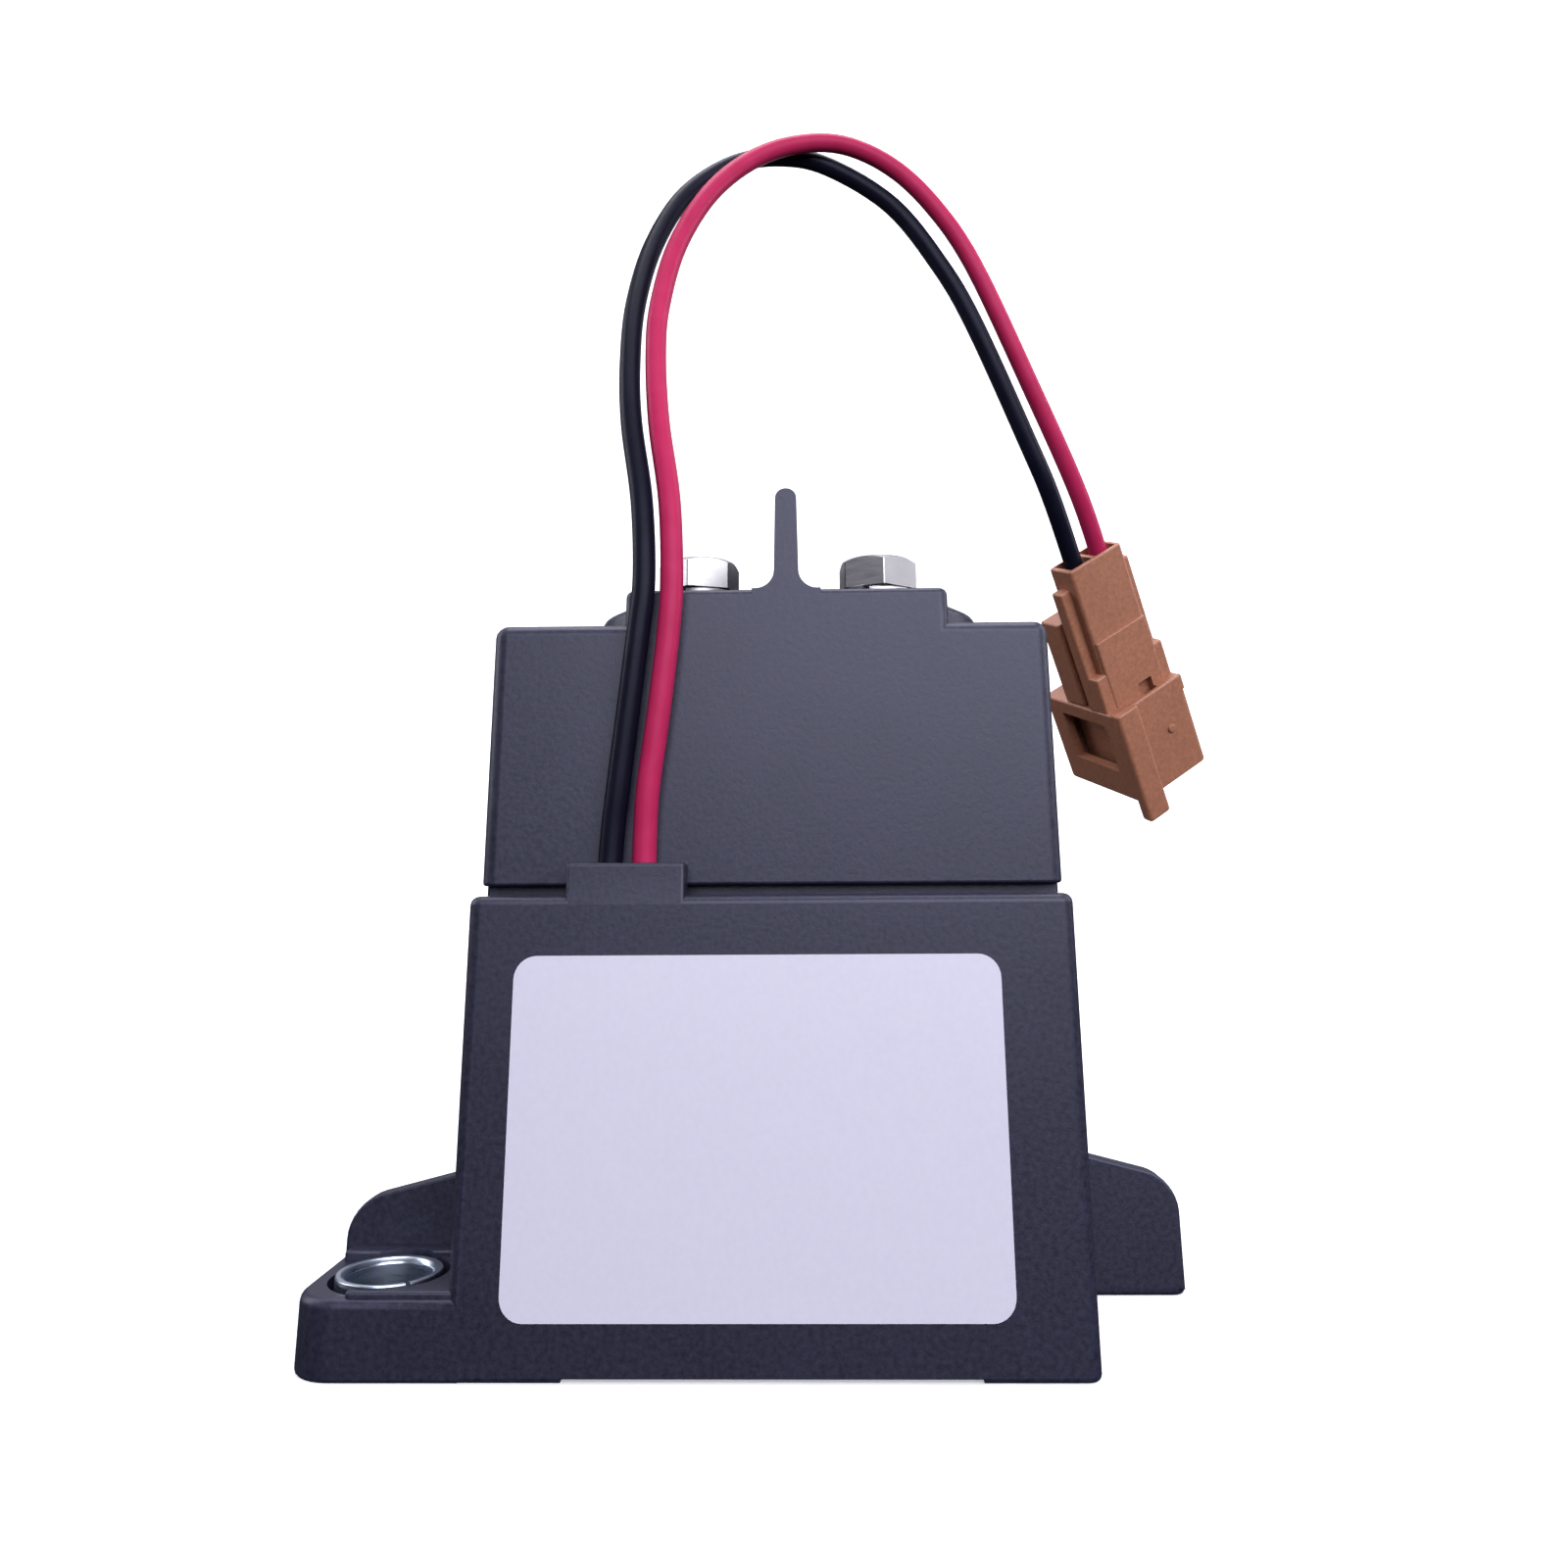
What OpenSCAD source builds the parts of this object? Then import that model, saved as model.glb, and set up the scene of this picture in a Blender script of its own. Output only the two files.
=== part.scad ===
// Sealed dc contactor on two feet, with bolt terminals, a coil, two short leads and a plug.
// Millimetres. The origin is the middle of the mounting plane, +Z up, the label faces -Y.

/* [Case] */
// Width of the base housing
body_w = 54.6; // [53:0.1:64]
// Depth of the base housing
body_d = 37; // [36.5:0.5:46]
// Height of the base housing up to the seam
base_h = 39; // [38:0.5:48]
// Height of the cover above the seam
cover_h = 25.8; // [24:0.1:34]
// Wall of the base housing
wall = 2; // [1.6:0.1:2.1]

/* [Deck] */
// Width of the raised deck
deck_w = 31.7; // [28:0.1:36]
// Sideways offset of the deck and of the working axis
deck_x = 1.6; // [0.8:0.1:2]
// Height of the deck above the cover
deck_h = 3.4; // [2:0.1:6]
// Height of the barrier above the deck
barrier_h = 10.3; // [6:0.1:14]
// Thickness of the barrier at its top
barrier_t = 2.2; // [1.6:0.1:3]
// Distance between the two terminals
terminal_pitch = 20; // [19:0.1:22]

/* [Mounting] */
// How far each foot stands out from the base housing
foot_reach = 13.5; // [13:0.1:20]
// Thickness of a foot
foot_t = 6.3; // [5:0.1:8]
// Outside diameter of a mounting bushing
bushing_d = 9.2; // [8.6:0.1:10.2]
// Bolt hole through a mounting bushing
bushing_hole = 7.4; // [5.5:0.1:7.4]

/* [Label] */
// Width of the label
label_w = 43.1; // [20:0.1:46]
// Height of the label
label_h = 29.3; // [12:0.1:32]

/* [Switch] */
// Travel of the moving core
stroke = 2.4; // [1.8:0.1:2.6]
// Open gap at the contacts
contact_gap = 1.8; // [1.2:0.1:1.8]

/* [Leads] */
// Diameter of each lead
lead_d = 2.3; // [1.6:0.1:2.3]

/* [Hidden] */
$fn = 48;
half_w = body_w / 2;
half_d = body_d / 2;
floor_t = 2.4;
case_in_x = half_w - wall;

// Cover
cover_side = 0.2;
cover_front = 3.1;
cover_back = 0.8;
cover_x = half_w - cover_side;
cover_y0 = -half_d + cover_front;
cover_y1 = half_d - cover_back;
cover_wall = 1.8;
seam = 0.9;
lip_t = 1.25;
lip_gap = 0.15;
cover_top = base_h + cover_h;
deck_top = cover_top + deck_h;
axis_y = (cover_y0 + cover_y1) / 2;
collar_r = 10.6;
collar_tip_r = 7.4;
collar_h = 1.7;
collar_z = deck_top - 0.3;
pad_z = collar_z + collar_h + 0.1;

// Space inside the base housing
case_y0 = cover_y0 + 0.8;
case_y1 = half_d - wall;

// Feet
foot_y0 = -half_d;
foot_y1 = -half_d + 15;
rib_t = 2.1;
foot_pad_h = 0.9;
hole_x = half_w + foot_reach / 2 - 0.05;
hole_y = half_d - 6;

// Lead exit block
block_x0 = -18.45;
block_x1 = -7.7;
block_y1 = cover_y0 - 0.05;
block_top = base_h + 2.9;
block_low = base_h - 1;
slot_x0 = -16.9;
slot_x1 = -9.5;
slot_y0 = -half_d + 0.7;
slot_y1 = cover_y0;
lead_y = (slot_y0 + slot_y1) / 2;
black_x = -14.8;
red_x = -11.6;
grommet_z0 = base_h - 1.6;
grommet_z1 = base_h + 1.9;

// Magnet circuit
frame_t = 1.8;
frame_x = 18;
frame_y = 12;
coil_z0 = floor_t + frame_t;
bobbin_h = 24.7;
bobbin_top = coil_z0 + bobbin_h;
flange_t = 1.4;
flange_r = min(axis_y - case_y0, case_y1 - axis_y, frame_x - frame_t - 0.85) - 0.35;
coil_r = flange_r - 0.6;
plate_t = 2.2;
plate_x = frame_x + 1.5;
plate_z0 = bobbin_top + 0.1;
plate_z1 = plate_z0 + plate_t;
sleeve_r = 6.9;
sleeve_t = 0.4;
sleeve_floor = 0.5;
tube_in_r = sleeve_r + 0.2;
tube_r = tube_in_r + 1.1;
pin_r = 0.45;
ledge_z = bobbin_top - flange_t;

// Cores, rod and springs
damper_t = 0.8;
damper_r = 5.5;
core_low = coil_z0 + sleeve_floor + damper_t;
core_face = plate_z1 - 12.6;
core_top = core_face - stroke - 0.2;
moving_r = sleeve_r - sleeve_t - 0.3;
fixed_r = sleeve_r - sleeve_t - 0.1;
core_flange_t = 1.2;
spring_r = 3.2;
pocket_r = 4.2;
pocket_d = 3;
return_wire = 0.7;
contact_wire = 0.9;
rod_r = 2;
rod_tip_r = 1.6;
rod_low = core_low + 1.5;
shoulder_r = 4;
shoulder_t = 1;
shoulder_z = plate_z1 + core_flange_t + 2.6;
seat_r = 4.6;
seat_t = 1.2;
seat_z = shoulder_z + shoulder_t;
seat_top = seat_z + seat_t;
contact_spring_h = 5.2;
touch = 0.02;

// Contacts and chamber
bridge_z = seat_top + contact_spring_h;
bridge_t = 2.5;
bridge_d = 9;
bridge_top = bridge_z + bridge_t;
tip_r = 3.2;
tip_z = bridge_top + 0.5;
clip_r = 3.2;
clip_t = 0.8;
rod_top = bridge_top + clip_t + 0.7;
contact_z = tip_z + contact_gap;
contact_r = 4;
contact_flange_r = 6;
contact_flange_t = 1.2;
post_r = 5;
ring_h = 4;
ring_t = 0.6;
ring_top = plate_z1 + ring_h;
chamber_h = 19;
chamber_top = ring_top + chamber_h;
chamber_x = terminal_pitch / 2 + 8.7;
chamber_y = (cover_y1 - cover_y0) / 2 - 6.55;
core_flange_r = min(9, chamber_y - ring_t - 0.4);
chamber_wall = 2.4;
chamber_roof = 2.6;

// Magnets beside the chamber
magnet_l = 24;
magnet_t = 2.3;
magnet_h = 12;
magnet_z = ring_top + 2.8;
magnet_y = chamber_y + 0.1;
magnet_yoke_t = 0.9;
magnet_yoke_y = magnet_y + magnet_t + 0.05;
magnet_yoke_x = chamber_x + 1.4;

// Terminal bolts
bolt_r = 2.45;
bolt_l = 9;
flat_t = 0.9;
lock_t = 1.1;
head_z = pad_z + flat_t + lock_t;
head_h = 3.5;
head_af = 8;
head_turn = [48, 6];

// Plug, in its own frame: u across, f to the front, w from the lead end to the mating end
plug_at = [36.1, 13.7, 77.1];
plug_turn = [-157, -31, 16];
plug_w = 8.6;
tower_d = 4.2;
hood_w0 = 19.6;
hood_w1 = 32.6;
core_w1 = 30.1;
rail_u = 1.6;
retainer_f = -8;
retainer_u = 1.4;
way_u = [2.3, 6.3];
way_f = -2.1;
crimp_w = 6;

// Lead routes
black_route = [
    [black_x, lead_y, grommet_z1], [-14.6, lead_y, 44.6], [-14.2, -16.8, 48.6], [-13.4, -17, 56],
    [-12.6, -17.1, 63.7], [-12.2, -16.9, 69], [-12.8, -15.6, 77.4], [-14.4, -13.2, 86.7], [-15.1, -10.6, 94.6],
    [-15.1, -7.6, 103.1], [-13.7, -4, 112.5], [-10.4, -0.8, 120.9], [-4.7, 1.8, 126.8], [1.4, 3.2, 128.6],
    [7.2, 3.8, 127.4], [14.8, 4.4, 122.3], [20.5, 5.2, 114.6], [24.6, 6.2, 107], [30.9, 9.2, 92.7]];
red_route = [
    [red_x, lead_y, grommet_z1], [-11.6, lead_y, 44.6], [-11.4, -16.8, 48.6], [-10.5, -17, 55.9],
    [-9.7, -17.1, 63.7], [-9.5, -16.9, 68.9], [-10, -15.8, 77.3], [-11.5, -13.6, 86.6], [-12.3, -11, 95.5],
    [-12.2, -9, 102.3], [-10.7, -6.4, 111], [-7.3, -4, 119], [-2.7, -1.6, 124.9], [2.7, 0.4, 128.4],
    [8.7, 2, 129.4], [14.7, 3.4, 127.2], [19.9, 4.6, 122.4], [24.8, 5.8, 114.8], [31.4, 8.6, 100.2]];

// Rotation of the plug frame
function about_x(v, a) = [v[0], v[1] * cos(a) - v[2] * sin(a), v[1] * sin(a) + v[2] * cos(a)];
function about_y(v, a) = [v[0] * cos(a) + v[2] * sin(a), v[1], v[2] * cos(a) - v[0] * sin(a)];
function about_z(v, a) = [v[0] * cos(a) - v[1] * sin(a), v[0] * sin(a) + v[1] * cos(a), v[2]];
function turned(v) = about_z(about_y(about_x(v, plug_turn[0]), plug_turn[1]), plug_turn[2]);
function at_plug(u, f, w) = plug_at + turned([u, f, w]);
plug_axis = turned([0, 0, 1]);

// Whole routes, down to the crimps in the plug
black_path = concat(black_route, [at_plug(way_u[0], way_f, -8), at_plug(way_u[0], way_f, crimp_w)]);
red_path = concat(red_route, [at_plug(way_u[1], way_f, -7), at_plug(way_u[1], way_f, crimp_w)]);

// Smooth path through the route points, two steps to a span
function unit(v) = v / norm(v);
function between(p, i) =
    let (n = len(p) - 1, a = p[max(i - 1, 0)], b = p[i], c = p[i + 1], d = p[min(i + 2, n)])
    (9 * (b + c) - a - d) / 16;
function smooth_path(p) = [
    for (k = [0 : 2 * (len(p) - 1)]) k % 2 == 0 ? p[k / 2] : between(p, (k - 1) / 2)];

// Rings of points square to a path
function path_way(p, i, first, last) =
    i == 0 ? first : i == len(p) - 1 ? last : unit(p[i + 1] - p[i - 1]);
function ring_points(c, way, r, sides) =
    let (n = unit([0, 1, 0] - way[1] * way), b = cross(way, n))
    [for (k = [0 : sides - 1]) c + r * (cos(360 * k / sides) * n + sin(360 * k / sides) * b)];
function tube_faces(rings, sides) = concat(
    [[for (k = [0 : sides - 1]) sides - 1 - k]],
    [for (i = [0 : rings - 2], k = [0 : sides - 1])
        [i * sides + k, i * sides + (k + 1) % sides, (i + 1) * sides + (k + 1) % sides, (i + 1) * sides + k]],
    [[for (k = [0 : sides - 1]) (rings - 1) * sides + k]]);

// Round tube swept along a path
module swept(path, r, sides, first, last) {
    p = smooth_path(path);
    pts = [for (i = [0 : len(p) - 1]) each ring_points(p[i], path_way(p, i, first, last), r, sides)];
    polyhedron(points = pts, faces = [for (f = tube_faces(len(p), sides)) [for (k = [len(f) - 1 : -1 : 0]) f[k]]]);
}

// Coil spring with a flat turn at each end
function spring_z(t, turns, wire, z0, z1) =
    let (rise = (z1 - z0 - 3 * wire) / (turns - 2), last = z1 - z0 - wire - (turns - t) * wire)
    z0 + wire / 2 + (t < 1 ? t * wire : t > turns - 1 ? last : wire + (t - 1) * rise);
module coil_spring(r, wire, turns, z0, z1) {
    steps = 16;
    sides = 6;
    count = turns * steps;
    pts = [for (i = [0 : count], k = [0 : sides - 1])
        let (a = 360 * i / steps, q = 360 * k / sides, rr = r + wire / 2 * cos(q))
        [rr * cos(a), rr * sin(a), spring_z(i / steps, turns, wire, z0, z1) + wire / 2 * sin(q)]];
    polyhedron(points = pts, faces = tube_faces(count + 1, sides));
}

// Block with rounded upright edges and softened top and bottom edges
module soft_block(x0, x1, y0, y1, z0, z1, r, top, low) {
    hull() {
        for (x = [x0 + r, x1 - r], y = [y0 + r, y1 - r]) {
            translate([x, y, z0 + low]) cylinder(r = r, h = z1 - z0 - top - low, $fn = 32);
            translate([x, y, z0]) cylinder(r = r - low, h = z1 - z0 - 0.29 * top, $fn = 32);
            translate([x, y, z0 + low]) cylinder(r = r - 0.29 * top, h = z1 - z0 - low - 0.29 * top, $fn = 32);
            translate([x, y, z0 + low]) cylinder(r = r - top, h = z1 - z0 - low, $fn = 32);
        }
    }
}

// Upright box given by its corners
module box(x0, x1, y0, y1, z0, z1) {
    translate([x0, y0, z0]) cube([x1 - x0, y1 - y0, z1 - z0]);
}

// Round bar or hole on an upright axis
module bar(x, y, r, z0, z1) {
    translate([x, y, z0]) cylinder(r = r, h = z1 - z0);
}

// Foot at the front left, with its rib and the pad round the bushing's seat
module foot() {
    tip = -half_w - foot_reach;
    rib_y = foot_y1 - rib_t;
    pad_top = foot_t + foot_pad_h;
    box(tip + 1, -half_w + 1, rib_y - 2.4, rib_y + 0.3, foot_t - 1, pad_top);
    box(-half_w - 3.4, -half_w + 1, foot_y0 + 0.4, rib_y, foot_t - 1, pad_top);
    box(-half_w - 8.7, -half_w + 1, foot_y0 + 0.4, foot_y0 + 3, foot_t - 1, pad_top);
    hull() {
        translate([tip + 4, foot_y0 + 4, 0]) cylinder(r = 4, h = foot_t - 0.8, $fn = 32);
        translate([tip + 4, foot_y0 + 4, 0]) cylinder(r = 3.2, h = foot_t, $fn = 32);
        translate([tip + 1.5, foot_y1 - 1.5, 0]) cylinder(r = 1.5, h = foot_t - 0.8, $fn = 32);
        translate([tip + 1.5, foot_y1 - 1.5, 0]) cylinder(r = 0.7, h = foot_t, $fn = 32);
        box(-half_w + 1, -half_w + 2, foot_y0 + 0.8, foot_y1 - 0.8, 0, foot_t);
        box(-half_w + 1, -half_w + 2, foot_y0, foot_y1, 0, foot_t - 0.8);
    }
    rib_out = foot_reach - 0.2;
    arc = [for (k = [0 : 8]) [rib_out - 4 + 4 * cos(76 * k / 8), 7.6 + 4 * sin(76 * k / 8)]];
    outline = concat([[-1.5, 0.5], [rib_out, 0.5]], arc, [[0, 14], [-1.5, 14]]);
    translate([-half_w, foot_y1, 0]) rotate([90, 0, 0]) linear_extrude(height = rib_t)
        polygon([for (p = outline) [-p[0], p[1]]]);
}

module base_housing() {
    color("#3a3948") difference() {
        union() {
            difference() {
                union() {
                    soft_block(-half_w, half_w, -half_d, half_d, 0, base_h, 1.3, 0.8, 0.5);
                    foot();
                    rotate([0, 0, 180]) foot();
                }
                box(-case_in_x, case_in_x, case_y0, case_y1, floor_t, base_h + 1);
            }
            soft_block(block_x0, block_x1, -half_d, block_y1, block_low, block_top, 0.8, 0.5, 0.2);
        }
        box(slot_x0, slot_x1, slot_y0, slot_y1, ledge_z - 1, block_top + 1);
        box(slot_x0, slot_x1, slot_y0, case_y0 + 1, ledge_z - 1, grommet_z0);
        box(-17.5, 17.5, -half_d - 1, half_d + 1, -1, 0.4);
        for (s = [-1, 1]) {
            bar(s * hole_x, s * hole_y, bushing_d / 2 + 0.02, -1, foot_t + 1);
            bar(s * hole_x, s * hole_y, bushing_d / 2 + 0.6, foot_t - 0.5, foot_t + foot_pad_h + 1);
        }
    }
}

// Barrier between the terminals, thicker at its foot
module barrier() {
    t = barrier_t / 2;
    z0 = cover_top - 1;
    z1 = deck_top + barrier_h;
    round_top = [for (k = [0 : 8]) [t * cos(180 * k / 8), z1 - t + t * sin(180 * k / 8)]];
    right_foot = [[t + 2.1, z0], [t + 2.1, deck_top - 0.1], [t + 0.9, deck_top + 0.5], [t + 0.35, deck_top + 1.8]];
    left_foot = [for (k = [3 : -1 : 0]) [-right_foot[k][0], right_foot[k][1]]];
    translate([deck_x, cover_y1, 0]) rotate([90, 0, 0]) linear_extrude(height = cover_y1 - cover_y0)
        polygon(concat(right_foot, round_top, left_foot));
}

module top_cover() {
    deck_r = deck_w / 2;
    lip_x = case_in_x - lip_gap;
    lip_y0 = case_y0 + lip_gap;
    lip_y1 = case_y1 - lip_gap;
    color("#55566a") difference() {
        union() {
            soft_block(-cover_x, cover_x, cover_y0, cover_y1, base_h + seam, cover_top, 1.5, 1.2, 0.2);
            box(-cover_x + seam, cover_x - seam, cover_y0 + seam, cover_y1 - seam, base_h, base_h + 2);
            box(-lip_x, lip_x, lip_y0, lip_y1, base_h - 3, base_h + 1);
            soft_block(deck_x - deck_r, deck_x + deck_r, cover_y0, cover_y1, cover_top - 3, deck_top, 1, 0.7, 0.2);
            barrier();
            for (s = [-1, 1]) translate([deck_x + s * terminal_pitch / 2, axis_y, 0]) {
                translate([0, 0, cover_top - 1]) cylinder(r = collar_r, h = collar_z - cover_top + 1);
                translate([0, 0, collar_z]) cylinder(r1 = collar_r, r2 = collar_tip_r, h = collar_h);
            }
        }
        box(-cover_x + cover_wall, cover_x - cover_wall, cover_y0 + cover_wall, cover_y1 - cover_wall,
            base_h, cover_top - cover_wall);
        box(-lip_x + lip_t, lip_x - lip_t, lip_y0 + lip_t, lip_y1 - lip_t, base_h - 4, base_h + 1);
        for (s = [-1, 1]) bar(deck_x + s * terminal_pitch / 2, axis_y, post_r + 0.1, cover_top - 5, deck_top + 5);
    }
}

module rating_label() {
    color("#d2d0e4") translate([-1.2, -half_d, base_h * 0.492]) rotate([90, 0, 0]) hull()
        for (x = [-1, 1], z = [-1, 1])
            translate([x * (label_w / 2 - 2), z * (label_h / 2 - 2), 0]) cylinder(r = 2, h = 0.15, $fn = 32);
}

module mounting_bushings() {
    ri = bushing_hole / 2;
    ro = bushing_d / 2;
    top = foot_t + 0.3;
    color("#b9c0cc") for (s = [-1, 1]) translate([s * hole_x, s * hole_y, 0]) difference() {
        cylinder(r = ro, h = top);
        translate([0, 0, -1]) cylinder(r = ri, h = top + 2);
        translate([0, 0, top - 0.35]) cylinder(r1 = ri, r2 = ri + 0.4, h = 0.4);
        rotate([0, 0, -50]) translate([0, -0.15, -1]) cube([ro + 1, 0.3, top + 2]);
    }
}

module terminal_bolts() {
    head_r = head_af / 2 / cos(30);
    color("#c9c9cf") for (k = [0, 1]) translate([deck_x + (k - 0.5) * terminal_pitch, axis_y, 0]) {
        intersection() {
            translate([0, 0, head_z]) rotate([0, 0, head_turn[k]]) cylinder(r = head_r, h = head_h, $fn = 6);
            translate([0, 0, head_z]) cylinder(r1 = head_r + 2.2, r2 = head_af / 2 - 0.2, h = head_h);
        }
        translate([0, 0, pad_z - bolt_l]) cylinder(r = bolt_r, h = head_z - pad_z + bolt_l + 0.5);
    }
}

module spring_washers() {
    lock_z = pad_z + flat_t;
    color("#aeb0b6") for (s = [-1, 1]) translate([deck_x + s * terminal_pitch / 2, axis_y, lock_z]) difference() {
        cylinder(r = 4.5, h = lock_t);
        translate([0, 0, -1]) cylinder(r = 2.6, h = lock_t + 2);
        rotate([0, 0, 250]) translate([1, -0.3, -1]) cube([6, 0.6, lock_t + 2]);
    }
}

module flat_washers() {
    color("#c2c3c8") for (s = [-1, 1]) translate([deck_x + s * terminal_pitch / 2, axis_y, pad_z]) difference() {
        cylinder(r = 5.2, h = flat_t);
        translate([0, 0, -1]) cylinder(r = 2.65, h = flat_t + 2);
    }
}

module fixed_contacts() {
    color("#b87a52") for (s = [-1, 1]) translate([deck_x + s * terminal_pitch / 2, axis_y, 0]) difference() {
        union() {
            bar(0, 0, contact_r, contact_z, chamber_top + contact_flange_t / 2);
            bar(0, 0, contact_flange_r, chamber_top, chamber_top + contact_flange_t);
            bar(0, 0, post_r, chamber_top + contact_flange_t / 2, pad_z);
        }
        bar(0, 0, bolt_r + 0.03, pad_z - bolt_l - 0.5, pad_z + 1);
    }
}

module ceramic_chamber() {
    ix = chamber_x - chamber_wall;
    iy = chamber_y - chamber_wall;
    color("#e9e6de") translate([deck_x, axis_y, 0]) difference() {
        box(-chamber_x, chamber_x, -chamber_y, chamber_y, ring_top, chamber_top);
        box(-ix, ix, -iy, iy, ring_top - 1, chamber_top - chamber_roof);
        for (s = [-1, 1])
            bar(s * terminal_pitch / 2, 0, contact_r + 0.2, chamber_top - 2 * chamber_roof, chamber_top + 1);
    }
}

module seal_ring() {
    ix = chamber_x - ring_t;
    iy = chamber_y - ring_t;
    color("#9a9ca0") translate([deck_x, axis_y, 0]) difference() {
        box(-chamber_x, chamber_x, -chamber_y, chamber_y, plate_z1, ring_top);
        box(-ix, ix, -iy, iy, plate_z1 - 1, ring_top + 1);
    }
}

module yoke_plate() {
    color("#8c8f94") translate([deck_x, axis_y, 0]) difference() {
        box(-plate_x, plate_x, -frame_y, frame_y, plate_z0, plate_z1);
        bar(0, 0, sleeve_r + 0.05, plate_z0 - 1, plate_z1 + 1);
    }
}

module yoke_frame() {
    side = frame_x - frame_t / 2;
    color("#8c8f94") translate([deck_x, axis_y, 0]) {
        box(-frame_x, frame_x, -frame_y, frame_y, floor_t, coil_z0);
        for (s = [-1, 1])
            box(s * side - frame_t / 2, s * side + frame_t / 2, -frame_y, frame_y, floor_t, plate_z0);
    }
}

module fixed_core() {
    color("#84878c") translate([deck_x, axis_y, 0]) difference() {
        union() {
            bar(0, 0, fixed_r, core_face, plate_z1 + core_flange_t / 2);
            bar(0, 0, core_flange_r, plate_z1, plate_z1 + core_flange_t);
        }
        bar(0, 0, rod_r + 0.4, core_face - 1, plate_z1 + core_flange_t + 1);
        bar(0, 0, pocket_r, core_face - 1, core_face + pocket_d);
    }
}

module guide_sleeve() {
    color("#a9acb0") translate([deck_x, axis_y, 0]) difference() {
        bar(0, 0, sleeve_r, coil_z0, plate_z1);
        bar(0, 0, sleeve_r - sleeve_t, coil_z0 + sleeve_floor, plate_z1 + 1);
    }
}

module damper_pad() {
    color("#26262a") translate([deck_x, axis_y, 0]) bar(0, 0, damper_r, coil_z0 + sleeve_floor, core_low);
}

module bobbin() {
    ledge_y = slot_y0 + 0.3;
    arm_x = deck_x - frame_x + 2 * frame_t;
    color("#2e2f33") difference() {
        union() {
            bar(deck_x, axis_y, tube_r, coil_z0, bobbin_top);
            bar(deck_x, axis_y, flange_r, coil_z0, coil_z0 + flange_t);
            bar(deck_x, axis_y, flange_r, ledge_z, bobbin_top);
            box(arm_x, red_x + 1.8, ledge_y, -flange_r / 3, ledge_z, bobbin_top);
            box(black_x - 1.8, red_x + 1.8, ledge_y, axis_y - frame_y - 0.4, ledge_z, bobbin_top);
        }
        bar(deck_x, axis_y, tube_in_r, coil_z0 - 1, bobbin_top + 1);
    }
}

module coil_winding() {
    color("#a5642f") difference() {
        bar(deck_x, axis_y, coil_r, coil_z0 + flange_t + 0.05, bobbin_top - flange_t - 0.05);
        bar(deck_x, axis_y, tube_r + 0.05, coil_z0, bobbin_top);
    }
}

module coil_pins() {
    color("#c8a45a") for (x = [black_x, red_x]) bar(x, lead_y, pin_r, bobbin_top, grommet_z0);
}

module blowout_magnets() {
    mid = magnet_y + magnet_t / 2;
    color("#5a5c60") for (s = [-1, 1])
        translate([deck_x, axis_y + s * mid, magnet_z + magnet_h / 2])
            cube([magnet_l, magnet_t, magnet_h], center = true);
}

module magnet_yoke() {
    mid = magnet_yoke_y + magnet_yoke_t / 2;
    out = magnet_yoke_y + magnet_yoke_t;
    tip = magnet_yoke_x + magnet_yoke_t;
    color("#8c8f94") translate([deck_x, axis_y, 0]) {
        for (s = [-1, 1])
            box(-magnet_l / 2 - 1, tip, s * mid - magnet_yoke_t / 2, s * mid + magnet_yoke_t / 2,
                magnet_z, magnet_z + magnet_h);
        box(magnet_yoke_x, tip, -out, out, magnet_z, magnet_z + magnet_h);
    }
}

module moving_core() {
    color("#7d8085") translate([deck_x, axis_y, 0]) difference() {
        bar(0, 0, moving_r, core_low, core_top);
        bar(0, 0, rod_r + touch, core_low - 1, core_top + 1);
        bar(0, 0, pocket_r, core_top - pocket_d, core_top + 1);
    }
}

module push_rod() {
    color("#b4b6ba") translate([deck_x, axis_y, 0]) {
        bar(0, 0, rod_r, rod_low, shoulder_z + shoulder_t / 2);
        bar(0, 0, shoulder_r, shoulder_z, seat_z);
        bar(0, 0, rod_tip_r, seat_z - shoulder_t / 2, rod_top);
    }
}

module return_spring() {
    color("#9fa2a6") translate([deck_x, axis_y, 0])
        coil_spring(spring_r, return_wire, 6, core_top - pocket_d + touch, core_face + pocket_d - touch);
}

module spring_seat() {
    color("#b4b6ba") translate([deck_x, axis_y, 0]) difference() {
        bar(0, 0, seat_r, seat_z, seat_top);
        bar(0, 0, rod_tip_r + 0.05, seat_z - 1, seat_top + 1);
    }
}

module contact_spring() {
    color("#9fa2a6") translate([deck_x, axis_y, 0])
        coil_spring(spring_r, contact_wire, 4, seat_top + touch, bridge_z - touch);
}

module retaining_clip() {
    slot = rod_tip_r - 0.7;
    color("#6c6f74") translate([deck_x, axis_y, 0]) difference() {
        bar(0, 0, clip_r, bridge_top + touch, bridge_top + touch + clip_t);
        bar(0, 0, rod_tip_r + 0.03, bridge_top - 1, bridge_top + clip_t + 1);
        box(0, clip_r + 1, -slot, slot, bridge_top - 1, bridge_top + clip_t + 1);
    }
}

module contact_bridge() {
    half = terminal_pitch / 2 + tip_r + 0.5;
    color("#b87a52") translate([deck_x, axis_y, 0]) difference() {
        union() {
            box(-half, half, -bridge_d / 2, bridge_d / 2, bridge_z, bridge_top);
            for (s = [-1, 1]) bar(s * terminal_pitch / 2, 0, tip_r, bridge_z + bridge_t / 2, tip_z);
        }
        bar(0, 0, rod_tip_r + 0.25, bridge_z - 1, tip_z + 1);
    }
}

module lead_grommet() {
    color("#1f1f24") box(slot_x0 + 0.02, slot_x1 - 0.02, slot_y0 + 0.02, slot_y1 - 0.02, grommet_z0, grommet_z1);
}

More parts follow.
